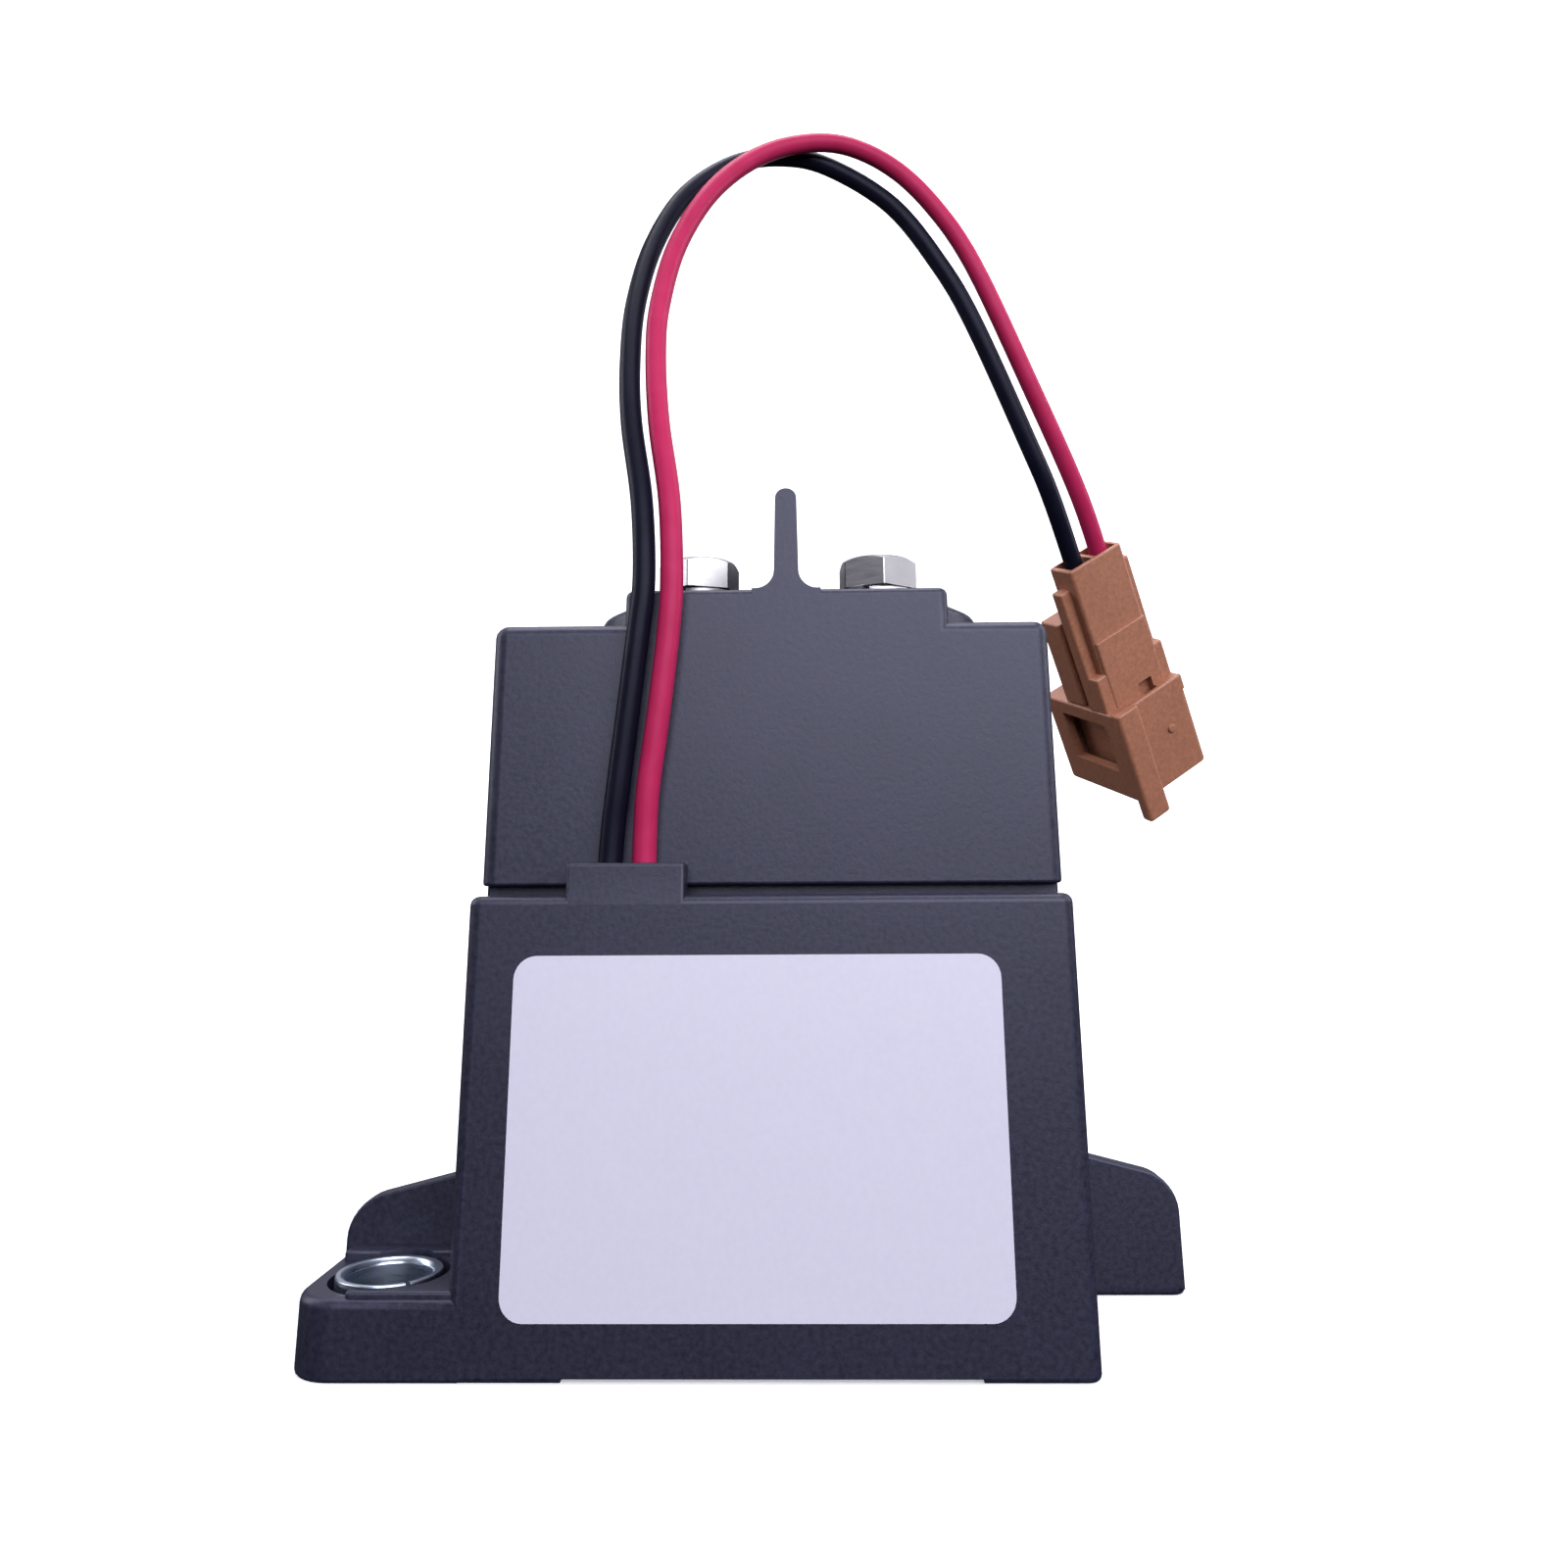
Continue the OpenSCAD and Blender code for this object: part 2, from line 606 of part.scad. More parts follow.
module lead_red() {
    color("#d63c6e") swept(red_path, lead_d / 2, 8, [0, 0, 1], plug_axis);
}

module lead_black() {
    color("#2b2a38") swept(black_path, lead_d / 2, 8, [0, 0, 1], plug_axis);
}

// Places a piece given in the plug's own frame
module in_plug() {
    translate(plug_at) rotate(plug_turn) children();
}

module plug_housing() {
    u1 = plug_w;
    color("#a07052") in_plug() difference() {
        union() {
            soft_block(0, u1, -tower_d, 0, 0, hood_w0 + 1, 0.4, 0.2, 0.3);
            box(0, u1, -tower_d, 0.35, 10.2, hood_w0 + 1);
            box(-rail_u, 0.2, -3.2, -1.3, 2.6, hood_w0 + 1);
            box(u1 - 0.2, u1 + rail_u, -3.2, -1.3, 2.6, hood_w0 + 1);
            soft_block(-1.6, u1 + 1.6, -12.6, 1.8, hood_w0, hood_w1, 0.9, 0.2, 0.3);
            box(-1.6, u1 + 1.6, 0.8, 1.8, hood_w0 - 0.9, hood_w0 + 2);
            soft_block(-1.6, 2, 0.5, 2.3, hood_w0 - 0.9, hood_w1 + 3, 0.7, 0.5, 0.1);
        }
        for (u = way_u) {
            box(u - 1.7, u + 1.7, way_f - 1.7, way_f + 1.7, -1, 11);
            box(u - 1.15, u + 1.15, way_f - 1.15, way_f + 1.15, 10, hood_w1 + 1);
        }
        difference() {
            box(-0.4, u1 + 0.4, -11.4, 0.6, hood_w0 + 1.6, hood_w1 + 5);
            box(0.5, u1 - 0.5, -9.6, -0.3, hood_w0 + 1, core_w1);
        }
        box(-2, 0, -8.6, -1.4, hood_w0 + 3.2, hood_w1 + 1);
        box(4.6, 6.4, 0.1, 1.2, hood_w0 - 2, hood_w0 + 3);
    }
}

module plug_retainer() {
    color("#8a5f45") in_plug() difference() {
        box(-retainer_u, plug_w + retainer_u, retainer_f, -tower_d - 0.02, 7.5, hood_w0 - 0.05);
        box(2, plug_w - 2, retainer_f - 1, retainer_f + 1, 9.5, hood_w0 - 3);
    }
}

module plug_contacts() {
    color("#c9c3b0") in_plug() for (u = way_u) translate([u, way_f, 0]) difference() {
        union() {
            translate([0, 0, crimp_w]) cylinder(r = 1.1, h = 6, $fn = 24);
            box(-1.1, 1.1, -1.1, 1.1, 11, core_w1 - 1.6);
        }
        box(-0.7, 0.7, -0.7, 0.7, hood_w0, core_w1);
    }
}

base_housing();
top_cover();
rating_label();
mounting_bushings();
terminal_bolts();
spring_washers();
flat_washers();
fixed_contacts();
ceramic_chamber();
seal_ring();
yoke_plate();
yoke_frame();
fixed_core();
guide_sleeve();
damper_pad();
bobbin();
coil_winding();
coil_pins();
blowout_magnets();
magnet_yoke();
moving_core();
push_rod();
return_spring();
spring_seat();
contact_spring();
retaining_clip();
contact_bridge();
lead_grommet();
lead_red();
lead_black();
plug_housing();
plug_retainer();
plug_contacts();
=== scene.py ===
# Sealed high voltage contactor: an electromagnet and two contacts in a plastic case, two coil leads and a plug.
# The sections follow the order of assembly. Sizes are in millimetres until a piece is finished.
import math

import bmesh
import bpy
from mathutils import Euler, Matrix, Vector


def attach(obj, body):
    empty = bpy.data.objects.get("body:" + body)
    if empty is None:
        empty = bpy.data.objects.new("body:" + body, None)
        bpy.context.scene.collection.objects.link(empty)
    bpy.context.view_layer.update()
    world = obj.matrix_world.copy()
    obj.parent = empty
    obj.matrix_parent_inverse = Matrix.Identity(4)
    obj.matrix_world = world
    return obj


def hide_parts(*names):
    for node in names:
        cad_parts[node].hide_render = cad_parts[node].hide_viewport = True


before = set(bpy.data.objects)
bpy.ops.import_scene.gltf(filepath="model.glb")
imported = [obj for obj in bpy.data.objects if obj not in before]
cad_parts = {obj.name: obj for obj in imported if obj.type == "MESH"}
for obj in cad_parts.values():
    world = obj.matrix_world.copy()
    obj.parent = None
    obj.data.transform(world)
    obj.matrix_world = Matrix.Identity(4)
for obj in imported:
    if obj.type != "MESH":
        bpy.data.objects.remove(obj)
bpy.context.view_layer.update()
MM = 0.001


# Magnet circuit: the U-shaped frame, plate, fixed core, guide sleeve, seal ring and magnet clamp.
# Soft iron and thin steel, punched, bent and turned, then left bare.
# They stack on the floor of the base housing, round the working axis.
def srgb(code):
    """Linear colour of an sRGB hex value."""
    parts = [int(code[i:i + 2], 16) / 255 for i in (1, 3, 5)]
    return [c / 12.92 if c <= 0.04045 else ((c + 0.055) / 1.055) ** 2.4 for c in parts] + [1]


def wire(tree, node, inputs):
    """Sets a node's sockets, and links those that are given another node's output."""
    for name, value in inputs.items():
        if isinstance(value, bpy.types.NodeSocket):
            tree.links.new(value, node.inputs[name])
        else:
            node.inputs[name].default_value = value


def add(tree, kind, inputs, **settings):
    """Adds a node with its settings and links."""
    node = tree.nodes.new("ShaderNode" + kind)
    for name, value in settings.items():
        setattr(node, name, value)
    wire(tree, node, inputs)
    return node


def new_material(name):
    """A material, its node tree and the object coordinates that its patterns read."""
    material = bpy.data.materials.new(name)
    material.use_nodes = True
    tree = material.node_tree
    place = add(tree, "TexCoord", {}).outputs["Object"]
    return material, tree, place


def bare_metal(name, dark, light, rough, streak):
    """Metal with a cloudy tone and fine tool streaks, which lie streak millimetres apart."""
    material, tree, place = new_material(name)
    clouds = add(tree, "TexNoise", {"Vector": place, "Scale": 1 / (5 * MM), "Detail": 4})
    tone = add(tree, "Mix", {0: clouds.outputs[0], 6: srgb(dark), 7: srgb(light)}, data_type="RGBA")
    drawn = add(tree, "Mapping", {"Vector": place, "Scale": (1, 1, 8)})
    streaks = add(tree, "TexNoise", {"Vector": drawn.outputs[0], "Scale": 1 / (8 * streak * MM), "Detail": 3})
    gloss = add(tree, "MapRange", {"Value": streaks.outputs[0], "To Min": rough - 0.12, "To Max": rough + 0.12})
    relief = add(tree, "Bump", {"Height": streaks.outputs[0], "Strength": 0.3, "Distance": 0.004 * MM})
    wire(tree, tree.nodes["Principled BSDF"], {
        "Base Color": tone.outputs[2], "Metallic": 1, "Roughness": gloss.outputs[0],
        "Normal": relief.outputs[0]})
    return material


def dress(material, *names):
    """Gives CAD nodes that keep their own shape a finish."""
    for name in names:
        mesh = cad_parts[name].data
        mesh.materials.clear()
        mesh.materials.append(material)


# Bare iron: dull grey with rolling streaks, the highlight broad and soft.
iron = bare_metal("soft_iron_bare", "#6a6d72", "#92959a", 0.42, 0.3)
dress(iron, "yoke_frame", "yoke_plate", "fixed_core", "guide_sleeve", "seal_ring", "magnet_yoke")


# Coil: a moulded bobbin, the winding on it and the two pins that meet the leads.
# Glass-filled plastic, enamelled copper wire and plated brass.
# The bobbin drops into the frame, and its ledge reaches forward under the lead exit.
def moulded_plastic(name, dark, light, rough, grain, depth, sheen=(1, 1, 1, 1)):
    """Moulded plastic with an eroded-mould grain, of grain millimetres and depth millimetres."""
    material, tree, place = new_material(name)
    clouds = add(tree, "TexNoise", {"Vector": place, "Scale": 1 / (9 * MM), "Detail": 3})
    pits = add(tree, "TexNoise", {
        "Vector": place, "Scale": 1 / (2 * grain * MM), "Detail": 5, "Roughness": 0.62})
    # The tone follows mostly the pits that also raise the relief: high points lighter and pits darker, which is
    # painted shade on the grain over a random mottle of about 9 mm.
    mixed = add(tree, "Mix", {0: 0.8, 2: clouds.outputs[0], 3: pits.outputs[0]})
    spread = add(tree, "MapRange", {"Value": mixed.outputs[0], "From Min": 0.36, "From Max": 0.64})
    tone = add(tree, "Mix", {0: spread.outputs[0], 6: srgb(dark), 7: srgb(light)}, data_type="RGBA")
    gloss = add(tree, "MapRange", {"Value": pits.outputs[0], "To Min": rough - 0.1, "To Max": rough + 0.1})
    relief = add(tree, "Bump", {"Height": pits.outputs[0], "Strength": 0.6, "Distance": depth * MM})
    wire(tree, tree.nodes["Principled BSDF"], {
        "Base Color": tone.outputs[2], "Roughness": gloss.outputs[0], "IOR": 1.53, "Specular Tint": sheen,
        "Normal": relief.outputs[0]})
    return material


dress(moulded_plastic("glass_filled_bobbin_plastic", "#232428", "#303136", 0.5, 0.3, 0.02), "bobbin")

# Enamelled wire: rows of round turns in bands of orange and brown; the light band is a painted highlight along the
# crown of each turn, and the dark band is painted shade between turns.
WIRE_D = 0.42
enamel, tree, place = new_material("enamelled_copper_wire")
turns = add(tree, "TexWave", {"Vector": place, "Scale": math.pi / 10 / (WIRE_D * MM), "Distortion": 0.4},
            bands_direction="Z")
tone = add(tree, "Mix", {0: turns.outputs[1], 6: srgb("#6e3517"), 7: srgb("#b8733c")}, data_type="RGBA")
relief = add(tree, "Bump", {"Height": turns.outputs[1], "Strength": 0.9, "Distance": WIRE_D / 2 * MM})
wire(tree, tree.nodes["Principled BSDF"], {
    "Base Color": tone.outputs[2], "Metallic": 0.8, "Roughness": 0.3, "Coat Weight": 0.6,
    "Normal": relief.outputs[0]})
dress(enamel, "coil_winding")

# Drawn copper: warm, slightly tarnished, with fine die streaks.
copper = bare_metal("electrical_copper_drawn", "#96583a", "#c48a63", 0.34, 0.25)
dress(copper, "coil_pins")


# Moving core, push rod and springs: the core pulls up and its rod carries the bridge to the contacts.
# Turned iron and wound spring wire, with a rubber pad that stops the core's fall.
# The rod is pressed through the core, and a clip holds the bridge on its tip.
dress(iron, "moving_core", "push_rod", "spring_seat")

# Spring wire: dark bright steel with draw marks along it.
spring_steel = bare_metal("spring_wire_drawn", "#73777c", "#a3a6aa", 0.28, 0.2)
dress(spring_steel, "return_spring", "contact_spring", "retaining_clip")

# Moulded rubber: near black, soft sheen, faint flow marks of about 2 mm.
rubber, tree, place = new_material("moulded_black_rubber")
flow = add(tree, "TexNoise", {"Vector": place, "Scale": 1 / (2 * MM), "Detail": 5, "Roughness": 0.6})
tone = add(tree, "Mix", {0: flow.outputs[0], 6: srgb("#131317"), 7: srgb("#25252b")}, data_type="RGBA")
gloss = add(tree, "MapRange", {"Value": flow.outputs[0], "To Min": 0.55, "To Max": 0.8})
relief = add(tree, "Bump", {"Height": flow.outputs[0], "Strength": 0.4, "Distance": 0.05 * MM})
wire(tree, tree.nodes["Principled BSDF"], {
    "Base Color": tone.outputs[2], "Roughness": gloss.outputs[0], "IOR": 1.52, "Normal": relief.outputs[0]})
dress(rubber, "damper_pad")


# Contact chamber: a ceramic box, the two contacts brazed through its roof, the bridge and the arc magnets.
# Pressed alumina, copper, and sintered magnets held by the iron clamp.
# The box is brazed to the seal ring, so that the contacts work in a closed space.
dress(copper, "fixed_contacts", "contact_bridge")

# Fired alumina: chalky off-white with grey grains of about 0.4 mm.
alumina, tree, place = new_material("fired_alumina")
grains = add(tree, "TexVoronoi", {"Vector": place, "Scale": 1 / (0.4 * MM)})
tone = add(tree, "Mix", {0: grains.outputs[0], 6: srgb("#efece4"), 7: srgb("#d6d1c6")}, data_type="RGBA")
relief = add(tree, "Bump", {"Height": grains.outputs[0], "Strength": 0.2, "Distance": 0.03 * MM})
wire(tree, tree.nodes["Principled BSDF"], {
    "Base Color": tone.outputs[2], "Roughness": 0.62, "IOR": 1.76, "Normal": relief.outputs[0]})
dress(alumina, "ceramic_chamber")

# Sintered magnet: dark grey, with sparkling grains of about 0.3 mm.
magnet, tree, place = new_material("sintered_magnet")
grains = add(tree, "TexVoronoi", {"Vector": place, "Scale": 1 / (0.3 * MM)})
tone = add(tree, "Mix", {0: grains.outputs[0], 6: srgb("#4b4d52"), 7: srgb("#77797e")}, data_type="RGBA")
gloss = add(tree, "MapRange", {"Value": grains.outputs[0], "To Min": 0.35, "To Max": 0.7})
wire(tree, tree.nodes["Principled BSDF"], {
    "Base Color": tone.outputs[2], "Metallic": 0.8, "Roughness": gloss.outputs[0]})
dress(magnet, "blowout_magnets")


# Base housing: an open box with two feet at opposite corners, a rib behind each, and the lead exit block.
# Glass-filled nylon, moulded in one shot in an eroded mould, so its faces have a fine grain.
# The magnet circuit stands on its floor, and the feet take the bushings.
BODY = Vector((54.6, 37, 39))
HALF = BODY / 2
CAVITY = ((-25.3, -14.6, 2.4), (25.3, 16.5, 45))
FOOT_REACH = 13.5
FOOT_D = 15
FOOT_T = 6.3
FOOT_ROUND = 4
FOOT_ROOT = 1.5
PAD_BASE = 5
PAD_TOP = 7.2
LIP_TOP = 6.8
RIB_T = 2.1
RIB_TIP = 10.75
RIB_TOP = 14
RIB_ROUND = 3.1
HOLE = Vector((34, 12.5, 0))
BUSHING_R = 4.6
SEAT_R = 5.2
SEAT_DEPTH = 2.5
BLOCK = ((-18.45, -18.49, 36), (-7.7, -15.45, 41.9))
SLOT = ((-16.9, -17.8, 26.5), (-9.5, -15.4, 50))
POCKET = ((-16.9, -17.8, 26.5), (-9.5, -13, 37.4))
RELIEF = ((-17.5, -20, -1), (17.5, 20, 0.4))


def soften(bm, edges, radius, segments=4):
    """Rounds edges."""
    bmesh.ops.bevel(bm, geom=edges, offset=radius, offset_type="OFFSET", segments=segments, profile=0.5,
                    affect="EDGES", material=-1, clamp_overlap=True)


def level(edge, height):
    """Whether an edge lies at a height."""
    return all(abs(v.co.z - height) < 1e-4 for v in edge.verts)


def block(low, high, upright=0, top=0, under=0):
    """A box between two corners, with its upright, top and bottom edges rounded."""
    bm = bmesh.new()
    low, high = Vector(low), Vector(high)
    bmesh.ops.create_cube(bm, size=1)
    bmesh.ops.scale(bm, vec=high - low, verts=bm.verts)
    bmesh.ops.translate(bm, vec=(low + high) / 2, verts=bm.verts)
    if upright:
        soften(bm, [e for e in bm.edges if abs(e.verts[0].co.z - e.verts[1].co.z) > 1e-4], upright, 5)
    if top:
        soften(bm, [e for e in bm.edges if level(e, high.z)], top)
    if under:
        soften(bm, [e for e in bm.edges if level(e, low.z)], under, 3)
    return bm


def round_corners(bm, verts, reach, segments=8):
    """Rounds the corners of a flat outline, from reach before each to reach after it."""
    bmesh.ops.bevel(bm, geom=verts, offset=reach, offset_type="OFFSET", segments=segments, profile=0.5,
                    affect="VERTICES", material=-1)


def slab(points, depth, rounds):
    """An outline in X and Z with rounded corners, made depth thick along Y. Rounds maps corner to reach."""
    bm = bmesh.new()
    corners = [bm.verts.new((x, 0, z)) for x, z in points]
    bm.faces.new(corners)
    for k, reach in rounds.items():
        round_corners(bm, [corners[k]], reach)
    grown = bmesh.ops.extrude_face_region(bm, geom=bm.faces[:])["geom"]
    far_side = [v for v in grown if isinstance(v, bmesh.types.BMVert)]
    bmesh.ops.translate(bm, vec=(0, depth, 0), verts=far_side)
    bmesh.ops.recalc_face_normals(bm, faces=bm.faces)
    return bm


def turned(profile, rounds, centre, steps=72):
    """A solid turned about an upright axis, from (radius, height) points: open at the axis, or a closed ring."""
    bm = bmesh.new()
    points = [bm.verts.new((r, 0, z)) for r, z in profile]
    for pair in zip(points, points[1:]):
        bm.edges.new(pair)
    if profile[0][0] > 0:
        bm.edges.new((points[-1], points[0]))
    for k, reach in rounds.items():
        round_corners(bm, [points[k]], reach, 4)
    bmesh.ops.spin(bm, geom=bm.verts[:] + bm.edges[:], cent=(0, 0, 0), axis=(0, 0, 1), dvec=(0, 0, 0),
                   angle=math.tau, steps=steps, use_merge=True)
    bmesh.ops.remove_doubles(bm, verts=bm.verts, dist=1e-4)
    bmesh.ops.recalc_face_normals(bm, faces=bm.faces)
    bmesh.ops.translate(bm, vec=centre, verts=bm.verts)
    return bm


def as_object(bm, name):
    """Turns a bmesh into an object at the origin."""
    mesh = bpy.data.meshes.new(name)
    bm.to_mesh(mesh)
    bm.free()
    obj = bpy.data.objects.new(name, mesh)
    bpy.context.scene.collection.objects.link(obj)
    return obj


def carved(solid, steps):
    """The solid after each step, which is an operation and the shape that it adds, cuts or keeps."""
    base = as_object(solid, "solid")
    tools = [as_object(shape, "tool") for _, shape in steps]
    for (operation, _), tool in zip(steps, tools):
        cut = base.modifiers.new("step", "BOOLEAN")
        cut.operation = operation
        cut.solver = "EXACT"
        cut.object = tool
    bpy.context.view_layer.update()
    left = bmesh.new()
    left.from_object(base, bpy.context.evaluated_depsgraph_get())
    bmesh.ops.remove_doubles(left, verts=left.verts, dist=1e-4)
    for obj in [base] + tools:
        mesh = obj.data
        bpy.data.objects.remove(obj)
        bpy.data.meshes.remove(mesh)
    return left


def joined(shapes):
    """Several shapes as one mesh, each still a closed shape of its own."""
    whole = bmesh.new()
    for shape in shapes:
        mesh = bpy.data.meshes.new("shape")
        shape.to_mesh(mesh)
        shape.free()
        whole.from_mesh(mesh)
        bpy.data.meshes.remove(mesh)
    return whole


def finish_piece(bm, name, material, slot, *stands_for):
    """Scales a mesh to metres and makes it a piece of the housing that stands for CAD nodes."""
    bmesh.ops.scale(bm, vec=Vector((MM, MM, MM)), verts=bm.verts)
    obj = as_object(bm, name)
    obj.data.materials.append(material)
    obj.data.shade_smooth()
    obj.data.set_sharp_from_angle(angle=math.radians(38))
    even = obj.modifiers.new("even_shading", "WEIGHTED_NORMAL")
    even.keep_sharp = True
    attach(obj, "housing")
    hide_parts(*stands_for)
    return obj


def half_turn(bm):
    """The same shape on the opposite corner of the housing."""
    bmesh.ops.rotate(bm, cent=(0, 0, 0), matrix=Matrix.Rotation(math.pi, 3, "Z"), verts=bm.verts)
    return bm


def foot():
    """The front left foot, with a large round at its outer front corner."""
    tip = -HALF.x - FOOT_REACH
    bm = block((tip, -HALF.y, 0), (-HALF.x + FOOT_ROOT, -HALF.y + FOOT_D, FOOT_T))
    outer = [e for e in bm.edges if all(abs(v.co.x - tip) < 1e-4 for v in e.verts)]
    upright = [e for e in outer if abs(e.verts[0].co.z - e.verts[1].co.z) > 1]
    front, back = sorted(upright, key=lambda e: e.verts[0].co.y)
    soften(bm, [front], FOOT_ROUND, 8)
    soften(bm, [back], 1.5, 5)
    soften(bm, [e for e in bm.edges if level(e, FOOT_T)], 0.8)
    soften(bm, [e for e in bm.edges if level(e, 0)], 0.4, 3)
    return bm


def rib():
    """The upright rib behind the front left foot's hole, sloping to a rounded tip."""
    out = -HALF.x - FOOT_REACH + 0.2
    inside = -HALF.x + FOOT_ROOT
    outline = [(inside, 0.5), (out, 0.5), (out, RIB_TIP), (-HALF.x, RIB_TOP), (inside, RIB_TOP)]
    bm = slab(outline, -RIB_T, {2: RIB_ROUND})
    bmesh.ops.translate(bm, vec=(0, -HALF.y + FOOT_D, 0), verts=bm.verts)
    soften(bm, [e for e in bm.edges if abs(e.verts[0].co.y - e.verts[1].co.y) < 1e-4], 0.3, 3)
    return bm


def foot_pad():
    """The raised pad round the front left bushing's seat, open towards the foot's tip."""
    rib_y = -HALF.y + FOOT_D - RIB_T
    inside = -HALF.x + 1
    back = block((-HALF.x - FOOT_REACH + 1, rib_y - 2.4, PAD_BASE), (inside, rib_y + 0.3, PAD_TOP), 0.3, 0.25)
    side = block((-HALF.x - 3.4, -HALF.y + 0.42, PAD_BASE), (inside + 0.1, rib_y, LIP_TOP - 0.01), 0.3, 0.25)
    front = block((-HALF.x - 8.7, -HALF.y + 0.4, PAD_BASE), (inside + 0.2, -HALF.y + 3, LIP_TOP), 0.5, 0.3)
    return carved(back, [("UNION", side), ("UNION", front)])


# A cool tint on the reflections of the nylon and the PVC: a painted blue cast on their sheen, beyond the lamps'
# own tint.
COOL_SHEEN_CAST = (0.83, 0.85, 1, 1)

# Eroded nylon: dark slate with a matt grain, drawn at 0.25 mm so that it shows; its high points are a little
# lighter and its pits darker, which is painted shade on the grain over a random mottle.
nylon = moulded_plastic("glass_filled_nylon", "#151523", "#26263a", 0.45, 0.25, 0.035, COOL_SHEEN_CAST)
additions = [foot(), half_turn(foot()), rib(), half_turn(rib()), foot_pad(), half_turn(foot_pad()),
             block(*BLOCK, 0.35, 0.4)]
cuts = [block(*CAVITY, 1), block(*SLOT), block(*POCKET), block(*RELIEF)]
hole = [(0, -1), (BUSHING_R + 0.02, -1), (BUSHING_R + 0.02, FOOT_T), (0, FOOT_T)]
floor = FOOT_T - SEAT_DEPTH
recess = [(0, floor), (SEAT_R, floor), (SEAT_R, FOOT_T + 2), (0, FOOT_T + 2)]
for side in (-1, 1):
    cuts.append(turned(hole, {}, side * HOLE))
    cuts.append(turned(recess, {}, side * HOLE))
shell = block((-HALF.x, -HALF.y, 0), (HALF.x, HALF.y, BODY.z), 1.3, 0.8, 0.5)
steps = [("UNION", shape) for shape in additions] + [("DIFFERENCE", shape) for shape in cuts]
finish_piece(carved(shell, steps), "base_shell", nylon, "base_plastic", "base_housing")


# Mounting bushings: split sleeves that take the clamping load of the bolts, so that the plastic doesn't creep.
# Steel strip, rolled round with a straight seam, then zinc plated.
# Each is pressed into its foot, at the bottom of a round seat for the screw's head.
BUSHING_IN_R = 3.7
BUSHING_H = 6.9
SEAM_AT = math.radians(-50)
SEAM_SPAN = math.radians(5)

# Zinc plate: bluish silver with a cloudy passivated bloom and rolling marks.
zinc = bare_metal("zinc_plated_steel", "#9aa6b8", "#ccd5e2", 0.3, 0.35)


def bushing(side):
    """A rolled sleeve with rounded lips, open at its seam."""
    bm = bmesh.new()
    ring = [(BUSHING_IN_R, 0), (BUSHING_R, 0), (BUSHING_R, BUSHING_H), (BUSHING_IN_R + 0.35, BUSHING_H),
            (BUSHING_IN_R, BUSHING_H - 0.4)]
    points = [bm.verts.new((r, 0, z)) for r, z in ring]
    for k in range(5):
        bm.edges.new((points[k], points[(k + 1) % 5]))
    round_corners(bm, points, 0.15, 3)
    bmesh.ops.rotate(bm, cent=(0, 0, 0), matrix=Matrix.Rotation(SEAM_AT, 3, "Z"), verts=bm.verts)
    bmesh.ops.spin(bm, geom=bm.verts[:] + bm.edges[:], cent=(0, 0, 0), axis=(0, 0, 1), dvec=(0, 0, 0),
                   angle=math.tau - SEAM_SPAN, steps=96, use_merge=False)
    bmesh.ops.holes_fill(bm, edges=[e for e in bm.edges if e.is_boundary], sides=0)
    bmesh.ops.recalc_face_normals(bm, faces=bm.faces)
    bmesh.ops.translate(bm, vec=side * HOLE, verts=bm.verts)
    return bm


finish_piece(joined([bushing(-1), bushing(1)]), "split_bushings", zinc, "zinc_steel", "mounting_bushings")


# Lead grommet: the plug of rubber that seals the two leads where they leave the base.
# Moulded rubber with a collar round each lead, squeezed between the exit block and the wall.
LEAD_R = 1.15
LEAD_Y = -16.6
LEAD_X = {"black": -14.8, "red": -11.6}
GROMMET = ((-16.88, -17.78, 37.4), (-9.52, -15.42, 40.9))
collar = [(LEAD_R - 0.1, 0), (LEAD_R + 0.55, 0), (LEAD_R + 0.1, 0.9), (LEAD_R - 0.1, 0.9)]
collars = [("UNION", turned(collar, {}, (x, LEAD_Y, GROMMET[1][2] - 0.2), 32)) for x in LEAD_X.values()]
grommet = carved(block(*GROMMET, 0.4, 0.3, 0.2), collars)
finish_piece(grommet, "lead_seal", rubber, "black_rubber", "lead_grommet")


# Top cover: a lid with a raised deck, a collar round each terminal and a barrier that parts them.
# The same glass-filled nylon as the base, hollow over the contact chamber.
# Its seat drops into the base and leaves a narrow dark seam all round.
SEAM = 0.9
SEAM_DEPTH = 2.1
COVER = ((-27.1, -15.4, BODY.z + SEAM), (27.1, 17.7, 64.8))
COVER_WALL = 1.8
LEDGE_T = 0.9
LIP_X = 25.15
LIP_INSET = 2.3
LIP_DROP = 1.5
LIP_CORE_X = 23.9
LIP_CORE_INSET = 2.9
DECK_X = 1.6
DECK_W = 31.7
DECK_TOP = 68.2
BARRIER_T = 2.2
BARRIER_H = 10.3
PITCH = 20
AXIS_Y = (COVER[0][1] + COVER[1][1]) / 2
TERMINALS = [Vector((DECK_X + side * PITCH / 2, AXIS_Y, 0)) for side in (-1, 1)]
COLLAR_R = 10.6
COLLAR_TIP_R = 7.4
COLLAR_TOP = DECK_TOP + 1.4
POST_R = 5.1


def barrier():
    """The upright barrier, with a round top and a wide fillet at each side of its foot."""
    t = BARRIER_T / 2
    top = DECK_TOP + BARRIER_H
    wide = t + 2.3
    half = [(wide, DECK_TOP - 3), (wide, DECK_TOP + 0.02), (t + 0.15, DECK_TOP + 0.02), (t - 0.05, top)]
    outline = half + [(-x, z) for x, z in reversed(half)]
    bm = slab(outline, COVER[1][1] - COVER[0][1], {2: 1.8, 5: 1.8, 3: t - 0.1, 4: t - 0.1})
    bmesh.ops.translate(bm, vec=(DECK_X, COVER[0][1], 0), verts=bm.verts)
    return bm


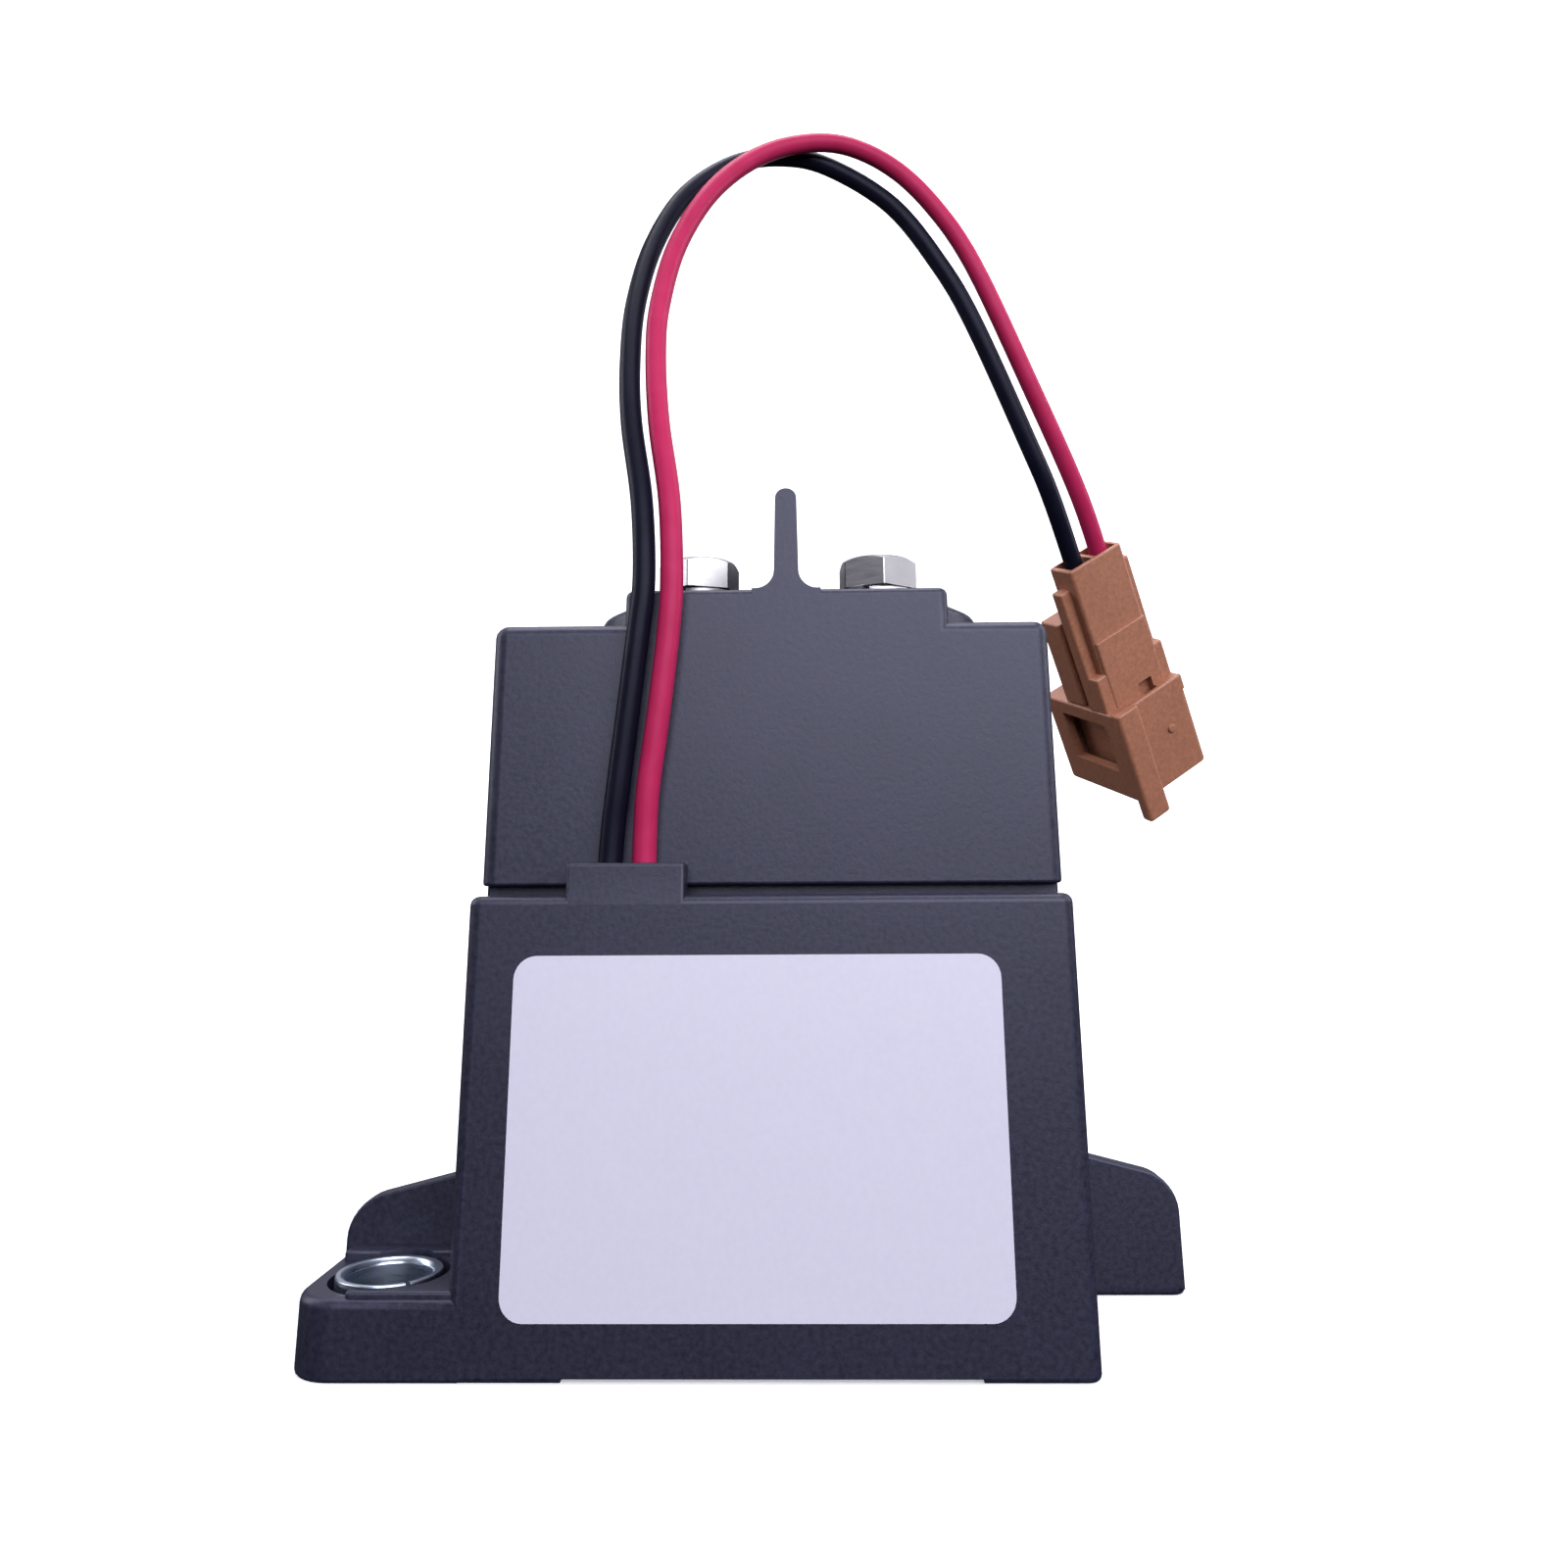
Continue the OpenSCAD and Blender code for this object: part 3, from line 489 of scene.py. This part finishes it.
(x0, y0, z0), (x1, y1, z1) = COVER
deck = block((DECK_X - DECK_W / 2, y0, z1 - 3), (DECK_X + DECK_W / 2, y1, DECK_TOP), 1, 0.7)
seat = block((x0 + 0.2, y0 + SEAM_DEPTH, BODY.z), (x1 - 0.2, y1 - SEAM_DEPTH, z0 + 1), 0.3)
lip = block((-LIP_X, y0 + LIP_INSET, BODY.z - LIP_DROP), (LIP_X, y1 - LIP_INSET, z0 + 1), 0.8)
collar = [(0, z1 - 1), (COLLAR_R, z1 - 1), (COLLAR_R, DECK_TOP - 0.3), (COLLAR_TIP_R, COLLAR_TOP),
          (0, COLLAR_TOP)]
steps = [("UNION", shape) for shape in (deck, seat, lip, barrier())]
steps += [("UNION", turned(collar, {2: 0.5, 3: 0.4}, at)) for at in TERMINALS]
lip_core = block((-LIP_CORE_X, y0 + LIP_CORE_INSET, BODY.z - 5), (LIP_CORE_X, y1 - LIP_CORE_INSET, z0 + 2), 1)
room = block((x0 + COVER_WALL, y0 + COVER_WALL, z0 + LEDGE_T),
             (x1 - COVER_WALL, y1 - COVER_WALL, z1 - COVER_WALL), 1)
steps += [("DIFFERENCE", lip_core), ("DIFFERENCE", room)]
post_hole = [(0, z1 - 5), (POST_R, z1 - 5), (POST_R, COLLAR_TOP + 5), (0, COLLAR_TOP + 5)]
steps += [("DIFFERENCE", turned(post_hole, {}, at)) for at in TERMINALS]
cover = carved(block(*COVER, 1.5, 1.2, 0.3), steps)
finish_piece(cover, "cover_shell", nylon, "cover_plastic", "top_cover")


# Terminal screws: a flat washer, a split spring washer and a hex bolt on each copper post.
# Nickel-plated steel: the washers punched and rolled, the heads cold forged with a round chamfer.
# They are shipped screwed in, and clamp a busbar or a ring lug.
PAD_Z = 69.7
FLAT = (2.65, 5.2, 0.9)
SPRING = (2.7, 4.4, 0.85)
SPRING_RISE = 0.23
HEAD_Z = 71.7
HEAD_TURNS = (48, 6)
HEAD_H = 3.5
HEAD_R = 4 / math.cos(math.radians(30))
BOLT_R = 2.45
BOLT_L = 9

# Nickel plate: warm bright silver, softly cloudy, with faint forging streaks.
nickel = bare_metal("nickel_plated_steel", "#9b999c", "#c6c4c4", 0.4, 0.3)


def flat_washer(at):
    """A punched washer with rounded edges."""
    inner, outer, thick = FLAT
    ring = [(inner, 0), (outer, 0), (outer, thick), (inner, thick)]
    return turned(ring, {0: 0.15, 1: 0.2, 2: 0.25, 3: 0.15}, at + Vector((0, 0, PAD_Z)))


def spring_washer(at):
    """A split ring whose ends stand a little apart in height."""
    inner, outer, thick = SPRING
    count = 72
    bm = bmesh.new()
    ring = [(inner, 0), (outer, 0), (outer, thick), (inner, thick)]
    points = [bm.verts.new((r, 0, z)) for r, z in ring]
    for k in range(4):
        bm.edges.new((points[k], points[(k + 1) % 4]))
    round_corners(bm, points, 0.15, 3)
    bmesh.ops.rotate(bm, cent=(0, 0, 0), matrix=Matrix.Rotation(math.radians(255), 3, "Z"), verts=bm.verts)
    bmesh.ops.spin(bm, geom=bm.verts[:] + bm.edges[:], cent=(0, 0, 0), axis=(0, 0, 1),
                   dvec=(0, 0, SPRING_RISE / count), angle=math.radians(350), steps=count, use_merge=False)
    bmesh.ops.holes_fill(bm, edges=[e for e in bm.edges if e.is_boundary], sides=0)
    bmesh.ops.recalc_face_normals(bm, faces=bm.faces)
    bmesh.ops.translate(bm, vec=at + Vector((0, 0, PAD_Z + FLAT[2] + 0.01)), verts=bm.verts)
    return bm


def hex_bolt(at, turn):
    """A hex head with a round chamfer and a shallow dish, on a plain shank."""
    bm = bmesh.new()
    bmesh.ops.create_cone(bm, cap_ends=True, segments=6, radius1=HEAD_R, radius2=HEAD_R, depth=HEAD_H)
    bmesh.ops.rotate(bm, cent=(0, 0, 0), matrix=Matrix.Rotation(math.radians(turn), 3, "Z"), verts=bm.verts)
    bmesh.ops.translate(bm, vec=at + Vector((0, 0, HEAD_Z + HEAD_H / 2)), verts=bm.verts)
    soften(bm, [e for e in bm.edges if abs(e.verts[0].co.z - e.verts[1].co.z) > 1], 0.12, 2)
    dome = [(0, -0.1), (HEAD_R + 2, -0.1), (HEAD_R + 2, 1.4), (3.7, HEAD_H), (2.9, HEAD_H), (2.4, HEAD_H - 0.3),
            (0, HEAD_H - 0.3)]
    under = [(0, 0.5), (BOLT_R, 0.5), (BOLT_R, PAD_Z - BOLT_L - HEAD_Z), (0, PAD_Z - BOLT_L - HEAD_Z)]
    head = at + Vector((0, 0, HEAD_Z))
    chamfered = ("INTERSECT", turned(dome, {3: 0.2, 4: 0.2}, head))
    shank = ("UNION", turned(under, {2: 0.6}, head))
    return carved(bm, [chamfered, shank])


flats = joined([flat_washer(at) for at in TERMINALS])
finish_piece(flats, "flat_washer_pair", nickel, "nickel_steel", "flat_washers")
springs = joined([spring_washer(at) for at in TERMINALS])
finish_piece(springs, "spring_washer_pair", nickel, "nickel_steel", "spring_washers")
bolts = joined([hex_bolt(at, turn) for at, turn in zip(TERMINALS, HEAD_TURNS)])
finish_piece(bolts, "hex_bolt_pair", nickel, "nickel_steel", "terminal_bolts")


# Label: a bare film with rounded corners on the front of the base.
# White polyester film, die cut and stuck on, 0.15 mm thick.
LABEL_W = 43.1
LABEL_H = 29.3
LABEL_T = 0.15
LABEL_AT = Vector((-1.2, -HALF.y - LABEL_T, BODY.z * 0.492))
LABEL_ROUND = 2

# Polyester film: cool white with a satin gloss, and faint ripples of about 6 mm where it was rubbed down.
film, tree, place = new_material("white_polyester_film")
ripples = add(tree, "TexNoise", {"Vector": place, "Scale": 1 / (12 * MM), "Detail": 2})
tooth = add(tree, "TexNoise", {"Vector": place, "Scale": 1 / (0.5 * MM), "Detail": 3})
tone = add(tree, "Mix", {0: tooth.outputs[0], 6: srgb("#c9c8d8"), 7: srgb("#d1d0df")}, data_type="RGBA")
gloss = add(tree, "MapRange", {"Value": tooth.outputs[0], "To Min": 0.26, "To Max": 0.42})
relief = add(tree, "Bump", {"Height": ripples.outputs[0], "Strength": 0.5, "Distance": 0.12 * MM})
wire(tree, tree.nodes["Principled BSDF"], {
    "Base Color": tone.outputs[2], "Roughness": gloss.outputs[0], "IOR": 1.57, "Normal": relief.outputs[0]})
w, h = LABEL_W / 2, LABEL_H / 2
label = slab([(-w, -h), (w, -h), (w, h), (-w, h)], LABEL_T, {k: LABEL_ROUND for k in range(4)})
bmesh.ops.translate(label, vec=LABEL_AT, verts=label.verts)
finish_piece(label, "bare_label", film, "label_film", "rating_label")


# Coil plug: a two-way connector with a tower for the leads, a retainer behind it and a hood round its pins.
# Brown PBT, moulded in two pieces, with tinned brass contacts clicked into the tower.
# It is built along its own axes, u across, f to the front and w to the mating end, then turned into place.
PLUG_AT = (36.1, 13.7, 77.1)
PLUG_TURN = Euler([math.radians(a) for a in (-157, -31, 16)])
PLUG = Matrix.Translation(PLUG_AT) @ PLUG_TURN.to_matrix().to_4x4()
PLUG_W = 8.6
TOWER_D = 4.2
TOWER_STEP = 10.2
HOOD_W0 = 19.6
HOOD_W1 = 32.6
HOOD_BACK = -12.6
HOOD_FRONT = 1.8
HOOD_SIDE = 1.6
CORE_W1 = 30.1
RAIL = 1.5
RAIL_W0 = 2.6
RAIL_BACK = -3.2
RAIL_FRONT = -1.3
GUSSET_W0 = 14.6
DOT_R = 0.55
DOT_H = 0.75
DOT_AT = (6.1, 1.35, 25.5)
WAYS = {"black": (2.3, -2.1), "red": (6.3, -2.1)}
WAY_SIDE = 1.7
CRIMP_W = 6

# Moulded PBT: warm brown with a satin gloss, finer grained than the case.
brown = moulded_plastic("brown_pbt_moulded", "#95614a", "#a87258", 0.42, 0.25, 0.015)


def in_plug(bm):
    """A shape in the plug's own axes, moved to where the plug hangs."""
    bmesh.ops.transform(bm, matrix=PLUG, verts=bm.verts)
    return bm


# Faces that would lie in one plane are kept a few hundredths apart, so that the shapes join cleanly.
u1 = PLUG_W
additions = [
    block((0.2, -TOWER_D, TOWER_STEP), (u1, 0.35, HOOD_W0 + 1), 0.3, 0, 0.2),
    block((-RAIL, RAIL_BACK, RAIL_W0), (0.2, RAIL_FRONT, HOOD_W0 + 1), 0.35, 0, 0.3),
    block((u1 - 0.2, RAIL_BACK, RAIL_W0), (u1 + RAIL, RAIL_FRONT, HOOD_W0 + 1), 0.35, 0, 0.3),
    block((-RAIL + 0.05, RAIL_BACK + 0.1, GUSSET_W0), (0.6, 0.2, HOOD_W0 + 0.9), 0.35, 0, 1),
    block((u1 - 0.6, RAIL_BACK + 0.1, GUSSET_W0), (u1 + RAIL - 0.05, 0.2, HOOD_W0 + 0.9), 0.35, 0, 1),
    block((-HOOD_SIDE, HOOD_BACK, HOOD_W0), (u1 + HOOD_SIDE, HOOD_FRONT, HOOD_W1), 0.9, 0.3, 0.3),
    block((-1.58, 1.1, HOOD_W0 - 0.1), (u1 + 1.58, 1.78, HOOD_W0 + 2), 0.3, 0, 0.25),
    block((-1.56, 0.5, HOOD_W0 - 0.05), (2, 2.3, HOOD_W1 + 3), 0.5, 0.5, 0.25),
    turned([(0, 0), (DOT_R, 0), (DOT_R, DOT_H), (0, DOT_H)], {2: 0.15}, (0, 0, 0), 24)]
bmesh.ops.rotate(additions[-1], cent=(0, 0, 0), matrix=Matrix.Rotation(math.radians(-90), 3, "X"),
                 verts=additions[-1].verts)
bmesh.ops.translate(additions[-1], vec=DOT_AT, verts=additions[-1].verts)
hollow = block((-0.4, -11.4, HOOD_W0 + 1.6), (u1 + 0.4, 0.6, HOOD_W1 + 5), 0.4)
core = block((0.5, -9.6, HOOD_W0 + 1), (u1 - 0.5, -0.3, CORE_W1), 0.3, 0.3)
cuts = [
    block((-2, -9.4, HOOD_W0 + 1.9), (0, -0.9, CORE_W1 - 1.6)),
    block((4.4, -0.6, HOOD_W0 - 1.4), (6.6, 1.05, HOOD_W0 + 3))]
for u, f in WAYS.values():
    cuts.append(block((u - WAY_SIDE, f - WAY_SIDE, -1), (u + WAY_SIDE, f + WAY_SIDE, 11), 0.2))
    cuts.append(block((u - 1.15, f - 1.15, 10), (u + 1.15, f + 1.15, HOOD_W1 + 1)))
tower = block((0, -TOWER_D, 0), (u1, 0, HOOD_W0 + 1), 0.5, 0, 0.25)
steps = [("UNION", shape) for shape in additions] + [("DIFFERENCE", hollow), ("UNION", core)]
steps += [("DIFFERENCE", shape) for shape in cuts]
plug = finish_piece(in_plug(carved(tower, steps)), "plug_body", brown, "brown_plastic", "plug_housing")

grips = [block((1.2, -8.25, 10.2 + 2.2 * k), (u1 - 1.2, -7.5, 11.2 + 2.2 * k), 0.2, 0.2, 0.2) for k in range(4)]
retainer = carved(
    block((-1.35, -8, 7.5), (u1 + 1.35, -TOWER_D - 0.02, HOOD_W0 - 0.05), 0.4, 0.3, 0.3),
    [("UNION", grip) for grip in grips])
retainer = finish_piece(in_plug(retainer), "plug_lock", brown, "brown_plastic", "plug_retainer")

# Tinned brass: pale, slightly yellow silver with stamping streaks.
dress(bare_metal("tinned_brass_stamped", "#b5ad97", "#d8d2c0", 0.3, 0.2), "plug_contacts")


# Coil leads: the black and the red wire that feed the coil, side by side from the grommet to the plug.
# Stranded copper in PVC, stiff enough to keep the arch that they were bent to.
# They are crimped in the plug at one end and soldered to the coil pins under the grommet at the other.
LEAD_Z = 40.9
ROUTES = {
    "black": [
        (-14.6, -16.6, 44.6), (-14.2, -16.8, 48.6), (-13.4, -17, 56), (-12.6, -17.1, 63.7), (-12.2, -16.9, 69),
        (-12.8, -15.6, 77.4), (-14.4, -13.2, 86.7), (-15.1, -10.6, 94.6), (-15.1, -7.6, 103.1), (-13.7, -4, 112.5),
        (-10.4, -0.8, 120.9), (-4.7, 1.8, 126.8), (1.4, 3.2, 128.6), (7.2, 3.8, 127.4), (14.8, 4.4, 122.3),
        (20.5, 5.2, 114.6), (24.6, 6.2, 107), (30.9, 9.2, 92.7)],
    "red": [
        (-11.6, -16.6, 44.6), (-11.4, -16.8, 48.6), (-10.5, -17, 55.9), (-9.7, -17.1, 63.7), (-9.5, -16.9, 68.9),
        (-10, -15.8, 77.3), (-11.5, -13.6, 86.6), (-12.3, -11, 95.5), (-12.2, -9, 102.3), (-10.7, -6.4, 111),
        (-7.3, -4, 119), (-2.7, -1.6, 124.9), (2.7, 0.4, 128.4), (8.7, 2, 129.4), (14.7, 3.4, 127.2),
        (19.9, 4.6, 122.4), (24.8, 5.8, 114.8), (31.4, 8.6, 100.2)]}
ABOVE_PLUG = {"black": -8, "red": -7}


def pvc(name, dark, light):
    """Extruded PVC: satin, with die lines and small tone changes along the wire."""
    material, tree, place = new_material(name)
    flow = add(tree, "TexNoise", {"Vector": place, "Scale": 1 / (3 * MM), "Detail": 4})
    fine = add(tree, "TexNoise", {"Vector": place, "Scale": 1 / (0.3 * MM), "Detail": 2})
    tone = add(tree, "Mix", {0: flow.outputs[0], 6: srgb(dark), 7: srgb(light)}, data_type="RGBA")
    gloss = add(tree, "MapRange", {"Value": fine.outputs[0], "To Min": 0.3, "To Max": 0.5})
    relief = add(tree, "Bump", {"Height": fine.outputs[0], "Strength": 0.25, "Distance": 0.02 * MM})
    # The Specular Tint gives the sheen the painted cool cast.
    wire(tree, tree.nodes["Principled BSDF"], {
        "Base Color": tone.outputs[2], "Roughness": gloss.outputs[0], "Specular IOR Level": 0.12,
        "Specular Tint": COOL_SHEEN_CAST, "Normal": relief.outputs[0]})
    return material


def smooth_route(points, count):
    """Points along a smooth line through the route's points, count to a span."""
    line = []
    ends = [points[0]] + points + [points[-1]]
    for a, b, c, d in zip(ends, ends[1:], ends[2:], ends[3:]):
        for k in range(count):
            t = k / count
            line.append(b + t / 2 * (c - a + t * (2 * a - 5 * b + 4 * c - d + t * (3 * (b - c) + d - a))))
    return line + [points[-1]]


def lead(colour, material):
    """One lead as a round curve from the grommet to its crimp."""
    u, f = WAYS[colour]
    points = [Vector((LEAD_X[colour], LEAD_Y, LEAD_Z))]
    points += [Vector(p) for p in ROUTES[colour]]
    points += [PLUG @ Vector((u, f, w)) for w in (ABOVE_PLUG[colour], CRIMP_W)]
    line = [p * MM for p in smooth_route(points, 6)]
    curve = bpy.data.curves.new("lead_" + colour + "_wire", "CURVE")
    curve.dimensions = "3D"
    spline = curve.splines.new("POLY")
    spline.points.add(len(line) - 1)
    for point, at in zip(spline.points, line):
        point.co = (*at, 1)
    curve.bevel_depth = LEAD_R * MM
    curve.bevel_resolution = 5
    curve.use_fill_caps = True
    curve.materials.append(material)
    obj = bpy.data.objects.new(curve.name, curve)
    bpy.context.scene.collection.objects.link(obj)
    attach(obj, "housing")
    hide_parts("lead_" + colour)
    return obj


lead("black", pvc("black_pvc_insulation", "#090914", "#131324"))
lead("red", pvc("red_pvc_insulation", "#a01c47", "#b62b58"))


# Studio: a pale sweep under and behind the contactor, soft panel lights and the camera.
# The sweep is opal acrylic. A wide panel stands behind the camera, weaker ones at the left, above and behind.
# The camera stands level with the seam and looks slightly up, as in the photograph.
SWEEP_BACK = 0.5
SWEEP_BEND = 0.25
SWEEP_HALF = 1.5
SWEEP_TOP = 1.6
SWEEP_GLOW = 0.4

# Opal acrylic, lit a little from behind: a flat even white, with a cloudiness of about 3 mm.
board, tree, place = new_material("opal_acrylic_sheet")
stipple = add(tree, "TexNoise", {"Vector": place, "Scale": 1 / (3 * MM), "Detail": 2})
tone = add(tree, "Mix", {0: stipple.outputs[0], 6: srgb("#f1f1f3"), 7: srgb("#f4f4f6")}, data_type="RGBA")
wire(tree, tree.nodes["Principled BSDF"], {
    "Base Color": tone.outputs[2], "Roughness": 0.85, "Emission Color": tone.outputs[2],
    "Emission Strength": SWEEP_GLOW})
bm = bmesh.new()
bends = [(-SWEEP_HALF, 0), (SWEEP_BACK, 0), (SWEEP_BACK, SWEEP_TOP)]
line = [bm.verts.new((-SWEEP_HALF, y, z)) for y, z in bends]
for pair in zip(line, line[1:]):
    bm.edges.new(pair)
round_corners(bm, [line[1]], SWEEP_BEND, 24)
grown = bmesh.ops.extrude_edge_only(bm, edges=bm.edges[:])["geom"]
far_side = [v for v in grown if isinstance(v, bmesh.types.BMVert)]
bmesh.ops.translate(bm, vec=(2 * SWEEP_HALF, 0, 0), verts=far_side)
bmesh.ops.recalc_face_normals(bm, faces=bm.faces)
sweep = as_object(bm, "sweep")
sweep.data.materials.append(board)
sweep.data.shade_smooth()
sweep.visible_diffuse = False
sweep.visible_glossy = False

AIM = Vector((0, 0, 0.05))
BACKDROP = Vector((0, SWEEP_BACK, 0.25))
LIGHT_TINT = (0.92, 0.92, 1)


def panel(name, at, size, power, aim):
    """A rectangular soft light that faces a point."""
    light = bpy.data.lights.new(name, "AREA")
    light.shape = "RECTANGLE"
    light.size, light.size_y = size
    light.energy = power
    light.color = LIGHT_TINT
    obj = bpy.data.objects.new(name, light)
    obj.location = at
    obj.rotation_euler = (aim - Vector(at)).to_track_quat("-Z", "Y").to_euler()
    bpy.context.scene.collection.objects.link(obj)


panel("panel_front", (0.18, -0.52, 0.28), (0.78, 0.42), 5.9, AIM)
panel("panel_left", (-0.55, -0.35, 0.3), (0.4, 0.4), 0.2, AIM)
panel("panel_top", (0, 0.05, 0.8), (0.6, 0.5), 6, AIM)
panel("panel_behind", (0, 0.42, 0.32), (0.8, 0.4), 0.7, AIM)
panel("panel_back_left", (-0.6, 0.1, 0.4), (0.3, 0.6), 3, BACKDROP)
panel("panel_back_right", (0.6, 0.1, 0.4), (0.3, 0.6), 3, BACKDROP)

world = bpy.data.worlds.new("studio_room")
world.use_nodes = True
wire(world.node_tree, world.node_tree.nodes["Background"], {"Color": (*LIGHT_TINT, 1), "Strength": 0.05})
bpy.context.scene.world = world
bpy.context.scene.view_settings.view_transform = "Standard"

CAMERA_AT = Vector((3.37, -128.88, 39.4)) * MM
CAMERA_RIGHT = Vector((0.99982, 0.01902, -0.00612))
CAMERA_UP = Vector((0.01049, -0.23927, 0.97091))
lens = bpy.data.cameras.new("camera")
lens.sensor_width = 36
lens.lens = 27.39
lens.shift_y = -0.12
lens.clip_start = 0.002
camera = bpy.data.objects.new("camera", lens)
turn = Matrix((CAMERA_RIGHT, CAMERA_UP, CAMERA_RIGHT.cross(CAMERA_UP))).transposed()
camera.matrix_world = Matrix.Translation(CAMERA_AT) @ turn.to_4x4()
bpy.context.scene.collection.objects.link(camera)
bpy.context.scene.camera = camera
